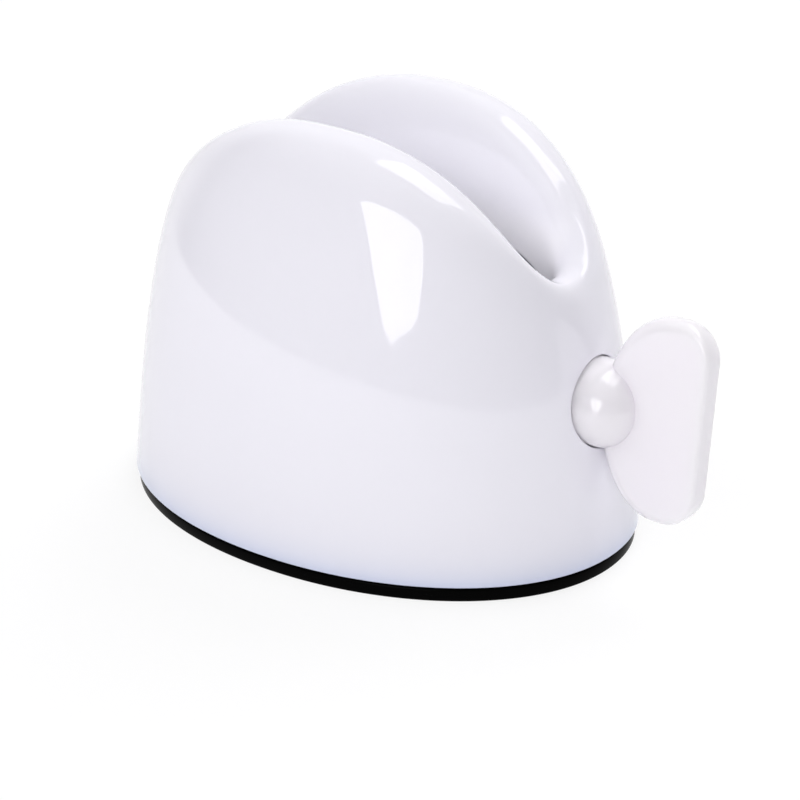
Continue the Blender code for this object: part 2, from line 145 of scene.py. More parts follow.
# %% Shader expressions
# A Mix node has several sockets of one name, so the ones for colours go by their numbers.
MIX_FACTOR, MIX_FIRST, MIX_SECOND, MIX_RESULT = 0, 6, 7, 2


class Amount:
    """A number that varies over a surface, held by a node's socket."""

    def __init__(self, nodes, socket):
        self.nodes = nodes
        self.socket = socket

    def __add__(self, other):
        return self.nodes.math("ADD", self, other)

    def __radd__(self, other):
        return self.nodes.math("ADD", other, self)

    def __sub__(self, other):
        return self.nodes.math("SUBTRACT", self, other)

    def __rsub__(self, other):
        return self.nodes.math("SUBTRACT", other, self)

    def __mul__(self, other):
        return self.nodes.math("MULTIPLY", self, other)

    def __rmul__(self, other):
        return self.nodes.math("MULTIPLY", other, self)

    def size(self):
        """The amount without its sign."""
        return self.nodes.math("ABSOLUTE", self)

    def fading(self, length):
        """1 where the amount is 0, and e times less for every length that it grows by."""
        return self.nodes.math("EXPONENT", self * (-1.0 / length))

    def ramp(self, low, high):
        """0 below a low value, 1 above a high one, and a smooth step between."""
        sockets = {"Value": self, "From Min": low, "From Max": high}
        made = self.nodes.node("ShaderNodeMapRange", {"interpolation_type": "SMOOTHSTEP"}, sockets)
        return Amount(self.nodes, made.outputs["Result"])


class Nodes:
    """A node tree under way, with one way to add a node of any kind."""

    def __init__(self, tree):
        self.tree = tree

    def node(self, kind, settings=None, sockets=None):
        """Node of a kind: its settings are set first, then the values or links of its sockets."""
        made = self.tree.nodes.new(kind)
        for key, value in (settings or {}).items():
            setattr(made, key, value)
        self.fill(made, sockets or {})
        return made

    def fill(self, node, sockets):
        """Set a node's sockets to values, or link them to other sockets and amounts."""
        for key, value in sockets.items():
            if isinstance(value, Amount):
                value = value.socket
            if isinstance(value, bpy.types.NodeSocket):
                self.tree.links.new(value, node.inputs[key])
            else:
                node.inputs[key].default_value = value

    def math(self, operation, *values):
        """Amount from one Math node of an operation."""
        made = self.node("ShaderNodeMath", {"operation": operation}, dict(enumerate(values)))
        return Amount(self, made.outputs[0])

    def mixed(self, amount, first, second):
        """Colour that goes from one to another with an amount; a colour is a triple or a socket."""
        sockets = {MIX_FACTOR: amount, MIX_FIRST: opaque(first), MIX_SECOND: opaque(second)}
        return self.node("ShaderNodeMix", {"data_type": "RGBA"}, sockets).outputs[MIX_RESULT]

    def shader_mix(self, amount, first, second):
        """Shader that goes from one to another with an amount."""
        sockets = {0: amount, 1: first.outputs[0], 2: second.outputs[0]}
        return self.node("ShaderNodeMixShader", None, sockets)

    def parts(self, vector):
        """The three amounts in a vector."""
        made = self.node("ShaderNodeSeparateXYZ", None, {"Vector": vector})
        return [Amount(self, made.outputs[axis]) for axis in "XYZ"]

    def ray(self, *kinds):
        """1 for rays of these kinds and 0 for all others."""
        path = self.node("ShaderNodeLightPath")
        found = Amount(self, path.outputs[f"Is {kinds[0]} Ray"])
        for kind in kinds[1:]:
            found = self.math("MAXIMUM", found, path.outputs[f"Is {kind} Ray"])
        return found


def opaque(colour):
    """A colour triple with alpha 1; a socket as it is."""
    return (*colour, 1.0) if isinstance(colour, tuple) else colour


class Finish(Nodes):
    """A material under way, made round its Principled shader."""

    def __init__(self, name):
        self.material = bpy.data.materials.new(name)
        self.material.use_nodes = True
        super().__init__(self.material.node_tree)
        self.surface = self.tree.nodes["Principled BSDF"]

    def place(self):
        """Position on the object, in metres."""
        return self.node("ShaderNodeTexCoord").outputs["Object"]

    def noise(self, per_metre, detail, stretch=(1.0, 1.0, 1.0)):
        """Soft random amount from 0 to 1, with about so many blobs in a metre."""
        scaled = self.node("ShaderNodeMapping", None, {"Vector": self.place(), "Scale": stretch})
        sockets = {"Vector": scaled.outputs["Vector"], "Scale": per_metre, "Detail": detail}
        return Amount(self, self.node("ShaderNodeTexNoise", None, sockets).outputs["Fac"])

    def relief(self, height):
        """Normal of a surface whose height in metres is an amount."""
        made = self.node("ShaderNodeBump", None, {"Height": height, "Distance": 1.0})
        return made.outputs["Normal"]

# %% [markdown]
# ## The finish of the dome
#
# The dome is moulded in glossy white plastic with a faint cool cast. A flat colour would look
# like a drawing. Real mouldings reflect a little unevenly, because the plastic shrinks by some
# hundredths of a millimetre over its ribs and its skin has a very fine orange peel, and handling
# leaves dull films. Close above the black mat the colour is painted greyer and bluer. This is
# painted shade, standing in for light lost in the mat, and it fades with the height over the rim.
# Deep in the slot it is the other way round: the walls are painted whiter. This is painted light,
# standing in for light that comes through the thin walls.

# %% Glossy white plastic
rim_low, rim_high = (np.array(corner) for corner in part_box("body_shell"))
RIM_BOTTOM = float(rim_low[2])
# Height over which the painted shade above the mat fades out.
RIM_SHADE_HEIGHT = 0.0022
# Where the painted slot light lies: inside the slot's ends and sides, and below its mouth.
SLOT_END_X = (0.0270, 0.0300)
SLOT_SIDE_Y = (0.0070, 0.0090)
SLOT_DEEP_Z = (0.0460, 0.0510)
WHITE_DARK = (0.890, 0.878, 0.942)
WHITE_LIGHT = (0.904, 0.892, 0.954)
# Painted light: the colour of the deep slot walls, whiter than the rest of the dome.
WHITE_PAINTED_SLOT_LIGHT = (0.968, 0.955, 1.000)
# Painted shade: the colour just above the mat, greyer and bluer than the dome.
WHITE_PAINTED_RIM_SHADE = (0.64, 0.69, 0.87)
WHITE_ROUGHNESS = 0.035
FILM_ROUGHNESS = 0.045
WHITE_IOR = 1.52
WAVE_HEIGHT = 0.000030
PEEL_HEIGHT = 0.0000004
DULL_FROM, DULL_TO = 0.5, 0.8


def glossy_white():
    """Polished white plastic: waves, orange peel, films, painted rim shade and painted slot light.
    """
    finish = Finish("glossy_white")
    shrinkage = finish.noise(per_metre=45.0, detail=1.0)
    peel = finish.noise(per_metre=1400.0, detail=1.0)
    films = finish.noise(per_metre=120.0, detail=4.0).ramp(DULL_FROM, DULL_TO)
    x, y, height = finish.parts(finish.place())
    # Painted shade: 1 at the rim above the mat, fading with the height.
    painted_rim_shade = (height - RIM_BOTTOM).fading(RIM_SHADE_HEIGHT)
    in_slot = (1.0 - x.size().ramp(*SLOT_END_X)) * (1.0 - y.size().ramp(*SLOT_SIDE_Y))
    # Painted light: 1 deep in the slot, where the walls are painted whiter.
    deep = in_slot * (1.0 - height.ramp(*SLOT_DEEP_Z))
    plain = finish.mixed(shrinkage, WHITE_DARK, WHITE_LIGHT)
    lit = finish.mixed(deep, plain, WHITE_PAINTED_SLOT_LIGHT)
    finish.fill(finish.surface, {
        "Base Color": finish.mixed(painted_rim_shade, lit, WHITE_PAINTED_RIM_SHADE),
        "Roughness": WHITE_ROUGHNESS + films * FILM_ROUGHNESS,
        "IOR": WHITE_IOR,
        "Normal": finish.relief(shrinkage * WAVE_HEIGHT + peel * PEEL_HEIGHT),
    })
    return finish.material


white = glossy_white()

# %% [markdown]
# ## The finish of the key
#
# The key is moulded in a pale, milky plastic. Light goes in, is scattered and comes out again
# some millimetres further on, so its shaded parts stay bright and its edges look soft. Scattering
# under the surface gives just that. A little clear transmission and a polished skin keep it from
# looking like chalk. The rod inside is the same plastic, rubbed dull by the tube.

# %% Milky plastic
MILKY_DARK = (0.892, 0.864, 0.912)
MILKY_LIGHT = (0.917, 0.890, 0.932)
POLISHED_ROUGHNESS = 0.02
RUBBED_ROUGHNESS = 0.26
SMEAR_ROUGHNESS = 0.04
MILKY_IOR = 1.58
CLEAR_SHARE = 0.05
SCATTER_DEPTH = 0.003
FLOW_STRETCH = (1.0, 1.0, 0.35)
FLOW_HEIGHT = 0.000008


def milky_plastic(name, roughness):
    """Translucent plastic with faint flow lines, and a roughness that handling raises in places."""
    finish = Finish(name)
    flow = finish.noise(per_metre=90.0, detail=3.0, stretch=FLOW_STRETCH)
    smears = finish.noise(per_metre=260.0, detail=3.0).ramp(DULL_FROM, DULL_TO)
    finish.fill(finish.surface, {
        "Base Color": finish.mixed(flow, MILKY_DARK, MILKY_LIGHT),
        "Roughness": roughness + smears * SMEAR_ROUGHNESS,
        "IOR": MILKY_IOR,
        "Transmission Weight": CLEAR_SHARE,
        "Subsurface Weight": 1.0,
        "Subsurface Radius": (1.0, 1.0, 1.0),
        "Subsurface Scale": SCATTER_DEPTH,
        "Normal": finish.relief(flow * FLOW_HEIGHT),
    })
    return finish.material


milky = milky_plastic("milky_plastic", POLISHED_ROUGHNESS)
dull_milky = milky_plastic("dull_milky_plastic", RUBBED_ROUGHNESS)

# %% [markdown]
# ## The finishes below
#
# The mat is smooth black rubber. Seen from the front it is black, and its ends, seen at a flat
# angle, carry a grey sheen, which comes from the shader's own gloss. The cover that closes the
# bottom is plain white plastic straight from a textured mould, so it is dull. The screws are
# zinc-plated.

# %% Rubber, textured plastic and zinc
RUBBER_DARK = (0.0004, 0.0004, 0.0004)
RUBBER_LIGHT = (0.0008, 0.0008, 0.0008)
RUBBER_ROUGHNESS = 0.22
PATCH_ROUGHNESS = 0.10
RUBBER_SHINE = 0.02
TOOTH_HEIGHT = 0.000004
TEXTURED_DARK = (0.760, 0.755, 0.785)
TEXTURED_LIGHT = (0.800, 0.795, 0.820)
TEXTURED_ROUGHNESS = 0.40
GRAIN_ROUGHNESS = 0.15
GRAIN_HEIGHT = 0.000012
ZINC_BLUE = (0.52, 0.53, 0.56)
ZINC_GREY = (0.66, 0.66, 0.66)
ZINC_ROUGHNESS = 0.26
BLOOM_ROUGHNESS = 0.14
BLOOM_HEIGHT = 0.000006


def black_rubber():
    """Black rubber with a fine tooth, and patches that are a little duller."""
    finish = Finish("black_rubber")
    tooth = finish.noise(per_metre=2600.0, detail=2.0)
    patches = finish.noise(per_metre=70.0, detail=2.0)
    finish.fill(finish.surface, {
        "Base Color": finish.mixed(patches, RUBBER_DARK, RUBBER_LIGHT),
        "Roughness": RUBBER_ROUGHNESS + patches * PATCH_ROUGHNESS,
        "Specular IOR Level": RUBBER_SHINE,
        "Normal": finish.relief(tooth * TOOTH_HEIGHT),
    })
    return finish.material


def textured_white():
    """White plastic from a sparked mould: an even, fine grain."""
    finish = Finish("textured_white")
    grain = finish.noise(per_metre=3200.0, detail=3.0)
    cloud = finish.noise(per_metre=60.0, detail=2.0)
    finish.fill(finish.surface, {
        "Base Color": finish.mixed(cloud, TEXTURED_DARK, TEXTURED_LIGHT),
        "Roughness": TEXTURED_ROUGHNESS + grain * GRAIN_ROUGHNESS,
        "Normal": finish.relief(grain * GRAIN_HEIGHT),
    })
    return finish.material


def zinc_plate():
    """Zinc-plated steel with a faint bluish bloom."""
    finish = Finish("zinc_plate")
    bloom = finish.noise(per_metre=900.0, detail=3.0)
    finish.fill(finish.surface, {
        "Base Color": finish.mixed(bloom, ZINC_BLUE, ZINC_GREY),
        "Roughness": ZINC_ROUGHNESS + bloom * BLOOM_ROUGHNESS,
        "Metallic": 1.0,
        "Normal": finish.relief(bloom * BLOOM_HEIGHT),
    })
    return finish.material


rubber = black_rubber()
textured = textured_white()
zinc = zinc_plate()
print("finishes:", [finish.name for finish in (white, milky, dull_milky, rubber, textured, zinc)])

# %% [markdown]
# ## The dome as a function
#
# The dome is one skin that goes all round an oval. On each meridian it rises from the rim, leans
# in, rounds over at the crest and turns down into the slot. Its plan at every height lies between
# three ovals: the rim, the crest and the slot. The crest is an arch, high in the middle and low
# at the ends, which is what makes two lobes with a deep slot between them. Sculpting could reach
# that look, but only a formula keeps both ends alike and the surface fair enough for clean
# reflections.

# %% Shape of the dome
RIM_LENGTH, RIM_WIDTH, _ = rim_high - rim_low
CREST_HEIGHT = rim_high[2]
RIM_SQUARENESS = 2.05
CREST_LENGTH = 0.0666
CREST_SPACING = 0.0266
CREST_SQUARENESS = 2.59
CREST_END_HEIGHT = 0.0434
ARCH_SPAN = 0.0852
ARCH_POWER = 2.27
ARCH_ROOT = 2.23
SLOT_LENGTH = 0.0570
SLOT_WIDTH = 0.0130
SLOT_SQUARENESS = 3.5
SLOT_END_BOTTOM = 0.0378
SLOT_SIDE_BOTTOM = 0.0454
WALL = 0.0022
AXIS_HEIGHT = 0.0261
END_AND_SIDE_LEAN = (0.37, 0.345)
END_AND_SIDE_FULLNESS = (2.02, 2.79)
END_AND_SIDE_LIP = (3.2, 2.2)


def signed_power(value, power):
    """Power of the size of a value, with the value's sign."""
    return np.sign(value) * np.abs(value) ** power


def oval(length, width, squareness, angle):
    """Superellipse: an oval of a length and width, squarer as the exponent rises above 2."""
    x = 0.5 * length * signed_power(np.cos(angle), 2.0 / squareness)
    y = 0.5 * width * signed_power(np.sin(angle), 2.0 / squareness)
    return np.stack([x, y], axis=-1)


def from_end_to_side(angle, end_and_side):
    """Blend from a value at the ends to one at the sides, by the squared sine of the angle."""
    end, side = end_and_side
    share = np.sin(angle) ** 2
    return side * share + end * (1.0 - share)


def arch(along):
    """Height of the crest: a root of one minus a power of the distance from the middle."""
    def bow(x):
        return (1.0 - (np.abs(x) / (0.5 * ARCH_SPAN)) ** ARCH_POWER) ** (1.0 / ARCH_ROOT)

    end = bow(0.5 * CREST_LENGTH)
    return CREST_END_HEIGHT + (CREST_HEIGHT - CREST_END_HEIGHT) * (bow(along) - end) / (1.0 - end)


def crest_line(angle):
    """Plan and height of the crest round the slot's mouth."""
    crest = oval(CREST_LENGTH, CREST_SPACING, CREST_SQUARENESS, angle)
    return crest, arch(crest[..., 0])


def wall_plan(angle, rise):
    """Plan of the wall at a share of its rise: a straight lean plus a superellipse quadrant."""
    lean = from_end_to_side(angle, END_AND_SIDE_LEAN)
    fullness = from_end_to_side(angle, END_AND_SIDE_FULLNESS)
    inward = lean * rise + (1.0 - lean) * (1.0 - (1.0 - rise ** fullness) ** (1.0 / fullness))
    rim = oval(RIM_LENGTH, RIM_WIDTH, RIM_SQUARENESS, angle)
    crest, _ = crest_line(angle)
    return rim + (crest - rim) * inward[..., None]


def wall_point(angle, height):
    """Point of the wall on the meridian of an angle, at a height."""
    _, top = crest_line(angle)
    rise = np.clip((height - RIM_BOTTOM) / (top - RIM_BOTTOM), 0.0, 1.0)
    return np.concatenate([wall_plan(angle, rise), np.asarray(height)[..., None]], axis=-1)


def lip_point(angle, sweep):
    """Point of the lip, which turns from the crest down into the slot in a sweep of 90 degrees."""
    crest, top = crest_line(angle)
    slot = oval(SLOT_LENGTH, SLOT_WIDTH, SLOT_SQUARENESS, angle)
    bottom = from_end_to_side(angle, (SLOT_END_BOTTOM, SLOT_SIDE_BOTTOM))
    fullness = from_end_to_side(angle, END_AND_SIDE_LIP)
    inward = np.sin(sweep) ** (2.0 / fullness)
    drop = 1.0 - np.cos(sweep) ** (2.0 / fullness)
    plan = crest + (slot - crest) * inward[..., None]
    return np.concatenate([plan, (top - (top - bottom) * drop)[..., None]], axis=-1)


dome_sizes = [round(float(size) * 1000, 1) for size in (RIM_LENGTH, RIM_WIDTH, CREST_HEIGHT)]
print("dome's length, width and crest height in mm:", dome_sizes)

# %% [markdown]
# ## The dome's skin
#
# A glossy surface shows every facet, so the skin has a point about every 0.9 mm. The inner face
# is the outer one moved in along its normals by the wall's thickness. Rows at the rim round its
# lower edge, which catches a thin line of light above the mat.

# %% Rows of the outer and inner skin
MERIDIANS = 256
WALL_ROWS = 88
LIP_ROWS = 44
EDGE_ROWS = 4
RIM_EDGE = 0.00025
FINE_STEPS = 4000

meridian = np.arange(MERIDIANS) * 2.0 * np.pi / MERIDIANS


def even_sweeps(point, count):
    """Sweeps from 0 to 90 degrees that divide the meridian at 45 degrees into equal lengths."""
    fine = np.linspace(0.0, 0.5 * np.pi, FINE_STEPS)
    line = point(np.full_like(fine, 0.25 * np.pi), fine)
    length = np.concatenate([[0.0], np.cumsum(np.linalg.norm(np.diff(line, axis=0), axis=1))])
    return np.interp(np.linspace(0.0, length[-1], count + 1), length, fine)


def swept_wall(angle, sweep):
    """Point of the wall by a sweep, which spaces rows closely where the wall rounds over."""
    _, top = crest_line(angle)
    rise = np.sin(sweep) ** (2.0 / from_end_to_side(angle, END_AND_SIDE_FULLNESS))
    height = RIM_BOTTOM + (top - RIM_BOTTOM) * rise
    return np.concatenate([wall_plan(angle, rise), height[..., None]], axis=-1)


def grid_normals(rows):
    """Unit normals of a grid whose rows close round, from differences between neighbours."""
    around = np.roll(rows, -1, axis=1) - np.roll(rows, 1, axis=1)
    normal = np.cross(around, np.gradient(rows, axis=0))
    return normal / np.linalg.norm(normal, axis=-1, keepdims=True)


def inset_plan(plan, inset):
    """Closed plan outline moved inwards."""
    tangent = np.roll(plan, -1, axis=0) - np.roll(plan, 1, axis=0)
    outward = np.stack([tangent[:, 1], -tangent[:, 0]], axis=-1)
    outward /= np.linalg.norm(outward, axis=1, keepdims=True)
    return plan - outward * inset


def level(plan, height):
    """Plan outline at one height."""
    return np.column_stack([plan, np.full(len(plan), height)])


wall_sweeps = even_sweeps(swept_wall, WALL_ROWS)
lip_sweeps = even_sweeps(lip_point, LIP_ROWS)[1:]
angle_grid, sweep_grid = np.meshgrid(meridian, wall_sweeps)
wall_grid = swept_wall(angle_grid, sweep_grid)
angle_grid, sweep_grid = np.meshgrid(meridian, lip_sweeps)
outer = np.concatenate([wall_grid, lip_point(angle_grid, sweep_grid)])
inner = outer - grid_normals(outer) * WALL
inner[0, :, 2] = RIM_BOTTOM
inner[-1, :, 2] = outer[-1, :, 2]
outer[0] = wall_point(meridian, np.full(MERIDIANS, RIM_BOTTOM + RIM_EDGE))
edge_sweeps = np.linspace(0.0, 0.5 * np.pi, EDGE_ROWS + 1)[1:]
rim_edge = np.array([
    level(
        inset_plan(outer[0, :, :2], RIM_EDGE * (1.0 - math.cos(sweep))),
        RIM_BOTTOM + RIM_EDGE * (1.0 - math.sin(sweep)),
    )
    for sweep in edge_sweeps
])
print("skin rows:", outer.shape[0], "meridians:", MERIDIANS)

# %% [markdown]
# ## The key's hole in the end wall
#
# A boolean cut would leave long thin faces round the hole, and they show as dents in a gloss.
# Here a window of the grid is left open instead, and rings of points lead from the window's edge
# to the circle. Every ring point still lies on the wall: its angle and height are blended between
# the window and the circle, and the wall's own formula gives the point.

# %% Window and rings
HUB_RADIUS = 0.00645
HUB_CLEARANCE = 0.00018
HOLE_RADIUS = HUB_RADIUS + HUB_CLEARANCE
HOLE_EDGE = 0.00025
WINDOW_COLUMNS = 15
WINDOW_BOTTOM = 0.0150
WINDOW_TOP = 0.0372
RING_COUNT = 14
NUDGE = 1e-4
CORRECTIONS = 8


def angle_on_wall(y, height):
    """Meridian through a place on the +X end wall, by Newton steps on the wall's formula."""
    angle = y / (0.5 * RIM_WIDTH)
    for _ in range(CORRECTIONS):
        found = wall_point(angle, height)[..., 1]
        slope = (wall_point(angle + NUDGE, height)[..., 1] - found) / NUDGE
        angle = angle - (found - y) / slope
    return angle


def point_under_wall(angle, height, depth):
    """Point at a depth under the wall, along the normal from small steps in angle and height."""
    point = wall_point(angle, height)
    across = wall_point(angle + NUDGE, height) - point
    upward = wall_point(angle, height + NUDGE) - point
    normal = np.cross(across, upward)
    normal /= np.linalg.norm(normal, axis=-1, keepdims=True)
    return point - normal * depth


def circle_on_wall(turn, radius, depth):
    """Angle and height where the skin at a depth crosses the round hole, by repeated correction."""
    aim = np.stack([radius * np.cos(turn), AXIS_HEIGHT + radius * np.sin(turn)], axis=-1)
    seek = aim.copy()
    for _ in range(CORRECTIONS):
        angle = angle_on_wall(seek[:, 0], seek[:, 1])
        seek = seek + aim - point_under_wall(angle, seek[:, 1], depth)[:, 1:]
    return angle_on_wall(seek[:, 0], seek[:, 1]), seek[:, 1]


row_low = int(np.argmax(wall_grid[:, 0, 2] > WINDOW_BOTTOM))
row_high = int(np.argmax(wall_grid[:, 0, 2] > WINDOW_TOP))
left, right = -WINDOW_COLUMNS, WINDOW_COLUMNS
window_rows = np.concatenate([
    np.full(right - left, row_low),
    np.arange(row_low, row_high),
    np.full(right - left, row_high),
    np.arange(row_high, row_low, -1),
])
window_columns = np.concatenate([
    np.arange(left, right),
    np.full(row_high - row_low, right),
    np.arange(right, left, -1),
    np.full(row_high - row_low, left),
])
edge_points = outer[window_rows, window_columns]
edge_angle = window_columns * 2.0 * np.pi / MERIDIANS
edge_height = edge_points[:, 2]
edge_turn = np.arctan2(edge_height - AXIS_HEIGHT, edge_points[:, 1])


def window_rings(radius, depth):
    """Rings of points from the circle out to just inside the window's edge."""
    circle_angle, circle_height = circle_on_wall(edge_turn, radius, depth)
    share = (np.arange(RING_COUNT) / RING_COUNT)[:, None]
    angle = circle_angle + (edge_angle - circle_angle) * share
    height = circle_height + (edge_height - circle_height) * share
    return point_under_wall(angle, height, depth)


outer_rings = window_rings(HOLE_RADIUS + HOLE_EDGE, 0.0)
inner_rings = window_rings(HOLE_RADIUS, WALL)
hole_edge = []
for sweep in edge_sweeps:
    radius = HOLE_RADIUS + HOLE_EDGE * (1.0 - math.sin(sweep))
    x = outer_rings[0, :, 0] - HOLE_EDGE * (1.0 - math.cos(sweep))
    hole_edge.append(np.column_stack([
        x, radius * np.cos(edge_turn), AXIS_HEIGHT + radius * np.sin(edge_turn),
    ]))
hole_edge = np.array(hole_edge)
print("window:", len(edge_turn), "points round it, rows", row_low, "to", row_high)

# %% [markdown]
# The arrays are now stacked into one list of points, and the index rows tie them together: the
# outer skin, the inner skin turned the other way, the rim, the slot's lower edge, and both sets
# of rings with the hole's wall between them. The signed volume, printed last, is above zero only
# when the faces point outwards.

# %% Shell of the dome
def open_window(quads, skin_start):
    """Quads of a skin without those inside the window."""
    corner = quads - skin_start
    row = corner // MERIDIANS
    column = (corner % MERIDIANS + MERIDIANS // 2) % MERIDIANS - MERIDIANS // 2
    inside = (
        (row.min(axis=1) >= row_low)
        & (row.max(axis=1) <= row_high)
        & (column.min(axis=1) >= left)
        & (column.max(axis=1) <= right)
    )
    return quads[~inside]


blocks = [outer, inner, rim_edge, outer_rings, inner_rings, hole_edge]
starts = np.cumsum([0] + [block.shape[0] * block.shape[1] for block in blocks])
points = np.concatenate([block.reshape(-1, 3) for block in blocks])
indices = [index_rows(start, *block.shape[:2]) for start, block in zip(starts, blocks)]
outer_index, inner_index, rim_index, outer_ring_index, inner_ring_index, hole_index = indices
outer_edge_index = outer_index[window_rows, window_columns][None]
inner_edge_index = inner_index[window_rows, window_columns][None]
hole_rows = np.concatenate([inner_ring_index[:1], hole_index[::-1], outer_ring_index[:1]])
quads = np.concatenate([
    open_window(ribbons(outer_index), starts[0]),
    open_window(ribbons(inner_index), starts[1])[:, ::-1],
    ribbons(np.concatenate([inner_index[:1], rim_index[::-1], outer_index[:1]])),
    ribbons(np.concatenate([outer_index[-1:], inner_index[-1:]])),
    ribbons(np.concatenate([outer_ring_index, outer_edge_index]))[:, ::-1],
    ribbons(np.concatenate([inner_ring_index, inner_edge_index])),
    ribbons(hole_rows)[:, ::-1],
])
dome_shell = piece("dome_shell", points, quads, white)
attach(dome_shell, "housing")
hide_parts("body_shell")
print(f"plastic in the dome: {signed_volume(points, quads) * 1e6:.2f} cubic centimetres")

# %% [markdown]
# ## The screw bosses
#
# Four hollow columns inside the dome take the screws of the base. Each is a profile carried round
# an upright axis: up the inside of its blind bore, under its end and up its outside. A thin web
# ties it to the wall, and a boolean joins the two. They are seen only from below or deep in the
# slot, so a few rows are enough.

# %% Bosses and webs
BOSS_CENTRE = np.array([0.025155, 0.014710])
BOSS_RADIUS = 0.0035
BOSS_BOTTOM = 0.0062
BOSS_TOP = 0.0145
BOSS_EDGE = 0.0003
PILOT_RADIUS = 0.0017
PILOT_TOP = 0.0125
WEB_THICKNESS = 0.0016
WEB_BOTTOM = 0.0065
WEB_TOP = 0.0142
BOSS_STEPS = 64


def capped(rows):
    """Points and faces of rows closed round, with a flat face at each end."""
    count, width = rows.shape[:2]
    index = index_rows(0, count, width)
    faces = ribbons(index).tolist() + [index[0][::-1].tolist(), index[-1].tolist()]
    return rows.reshape(-1, 3), faces


def combine(base, tool, operation):
    """Join a second closed piece to the first (UNION) or cut it out (DIFFERENCE), and drop it."""
    step = base.modifiers.new("combine", "BOOLEAN")
    step.operation = operation
    step.solver = "EXACT"
    step.object = tool
    combined = base.evaluated_get(bpy.context.evaluated_depsgraph_get())
    result = bpy.data.meshes.new_from_object(combined)
    base.modifiers.clear()
    base.data = result
    bpy.data.objects.remove(tool)
    result.shade_smooth()
    result.set_sharp_from_angle(angle=SMOOTH_ANGLE)


def boss_rows(centre):
    """Profile of radius and height, carried round an upright axis."""
    profile = (
        (PILOT_RADIUS, PILOT_TOP), (PILOT_RADIUS, BOSS_BOTTOM),
        (BOSS_RADIUS - BOSS_EDGE, BOSS_BOTTOM), (BOSS_RADIUS, BOSS_BOTTOM + BOSS_EDGE),
        (BOSS_RADIUS, BOSS_TOP - BOSS_EDGE), (BOSS_RADIUS - BOSS_EDGE, BOSS_TOP),
    )
    turn = np.arange(BOSS_STEPS) * 2.0 * np.pi / BOSS_STEPS
    ring = np.column_stack([np.cos(turn), np.sin(turn)])
    return np.array([level(centre + ring * radius, height) for radius, height in profile])


def wall_reach(way, height):
    """Distance from the middle to the outer wall in a direction, at a height."""
    quarter = wall_point(meridian, np.full(MERIDIANS, height))[:MERIDIANS // 4 + 1, :2]
    bearing = np.arctan2(quarter[:, 1], quarter[:, 0])
    return np.interp(math.atan2(abs(way[1]), abs(way[0])), bearing, np.linalg.norm(quarter, axis=1))


def web_rows(centre):
    """Bottom and top outline of a web, from inside the column to half way into the wall."""
    way = centre / np.linalg.norm(centre)
    side = np.array([-way[1], way[0]]) * 0.5 * WEB_THICKNESS
    near = centre + way * 0.5 * (PILOT_RADIUS + BOSS_RADIUS)
    rows = []
    for height in (WEB_BOTTOM, WEB_TOP):
        far = way * (wall_reach(way, height) - 0.5 * WALL)
        rows.append(level(np.array([near - side, far - side, far + side, near + side]), height))
    return np.array(rows)


for number, signs in enumerate(((1, 1), (-1, 1), (-1, -1), (1, -1)), start=1):
    boss = piece(f"screw_boss_{number}", *capped(boss_rows(BOSS_CENTRE * signs)), white)
    combine(boss, piece("web", *capped(web_rows(BOSS_CENTRE * signs)), white), "UNION")
    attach(boss, "housing")
    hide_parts("body_shell")

# %% [markdown]
# ## The key
#
# The key is one moulding: a domed hub that fills the round hole, and a D-shaped plate to turn it
# by. The hub is a profile carried round the axis. The plate is an outline carried through a
# rounded edge, from its front face over the rim to its back face. Plastic that lets light through
# shows any face left inside it, so the two are joined into one skin with a boolean, which is
# harmless here because the two meet at a crease.

# %% Hub and plate
DOME_PROUD = 0.0004
HUB_BACK_X = 0.03453
PLATE_MIDDLE_X = 0.04998
PLATE_BELLY = 0.0104
PLATE_FLAT = 0.0007
PLATE_CORNER = 0.0056
PLATE_HALF_HEIGHT = 0.0152
PLATE_THICKNESS = 0.0039
STRAIGHT_EDGE = 0.0006
ROUND_EDGE = 0.0018
FACE_INSET = 0.00025
KEY_TILT = math.radians(7.0)
ROUND_STEPS = 128
DOME_STEPS = 28
EDGE_STEPS = 10
CORNER_STEPS = 16
BELLY_STEPS = 72


def about_axis(x, y, z):
    """Points given from the key's axis, turned by the tilt at which the key rests."""
    tilted_y = y * math.cos(KEY_TILT) + z * math.sin(KEY_TILT)
    tilted_z = z * math.cos(KEY_TILT) - y * math.sin(KEY_TILT)
    return np.stack(np.broadcast_arrays(x, tilted_y, AXIS_HEIGHT + tilted_z), axis=-1)


def turned_rows(profile, steps):
    """Rows of a profile of x and radius, carried round the key's axis."""
    turn = np.arange(steps) * 2.0 * np.pi / steps
    x = profile[:, :1]
    radius = profile[:, 1:]
    return about_axis(x, radius * np.cos(turn), radius * np.sin(turn))


def hub_profile():
    """Back face, cylinder and hemisphere, as x and radius."""
    centre = float(wall_point(np.array(0.0), np.array(AXIS_HEIGHT))[0]) + DOME_PROUD
    turn = np.linspace(0.0, 0.5 * np.pi, DOME_STEPS, endpoint=False)
    dome = np.column_stack([centre + HUB_RADIUS * np.sin(turn), HUB_RADIUS * np.cos(turn)])
    return np.concatenate([[[HUB_BACK_X, HUB_RADIUS]], dome])


def plate_outline():
    """D outline as x and height: two rounded corners, then half an ellipse."""
    corner = np.linspace(-0.5 * np.pi, 0.0, CORNER_STEPS)
    corner_x = PLATE_MIDDLE_X + PLATE_FLAT
    corner_z = PLATE_HALF_HEIGHT - PLATE_CORNER
    low = np.column_stack([
        corner_x + PLATE_CORNER * np.cos(corner), PLATE_CORNER * np.sin(corner) - corner_z,
    ])
    side_z = np.linspace(-corner_z, corner_z, CORNER_STEPS)[1:-1]
    side = np.column_stack([np.full_like(side_z, corner_x + PLATE_CORNER), side_z])
    high = low[::-1] * (1.0, -1.0)
    belly = np.linspace(0.5 * np.pi, 1.5 * np.pi, BELLY_STEPS)
    round_side = np.column_stack([
        PLATE_MIDDLE_X + PLATE_BELLY * np.cos(belly), PLATE_HALF_HEIGHT * np.sin(belly),
    ])
    return np.concatenate([low, side, high, round_side])


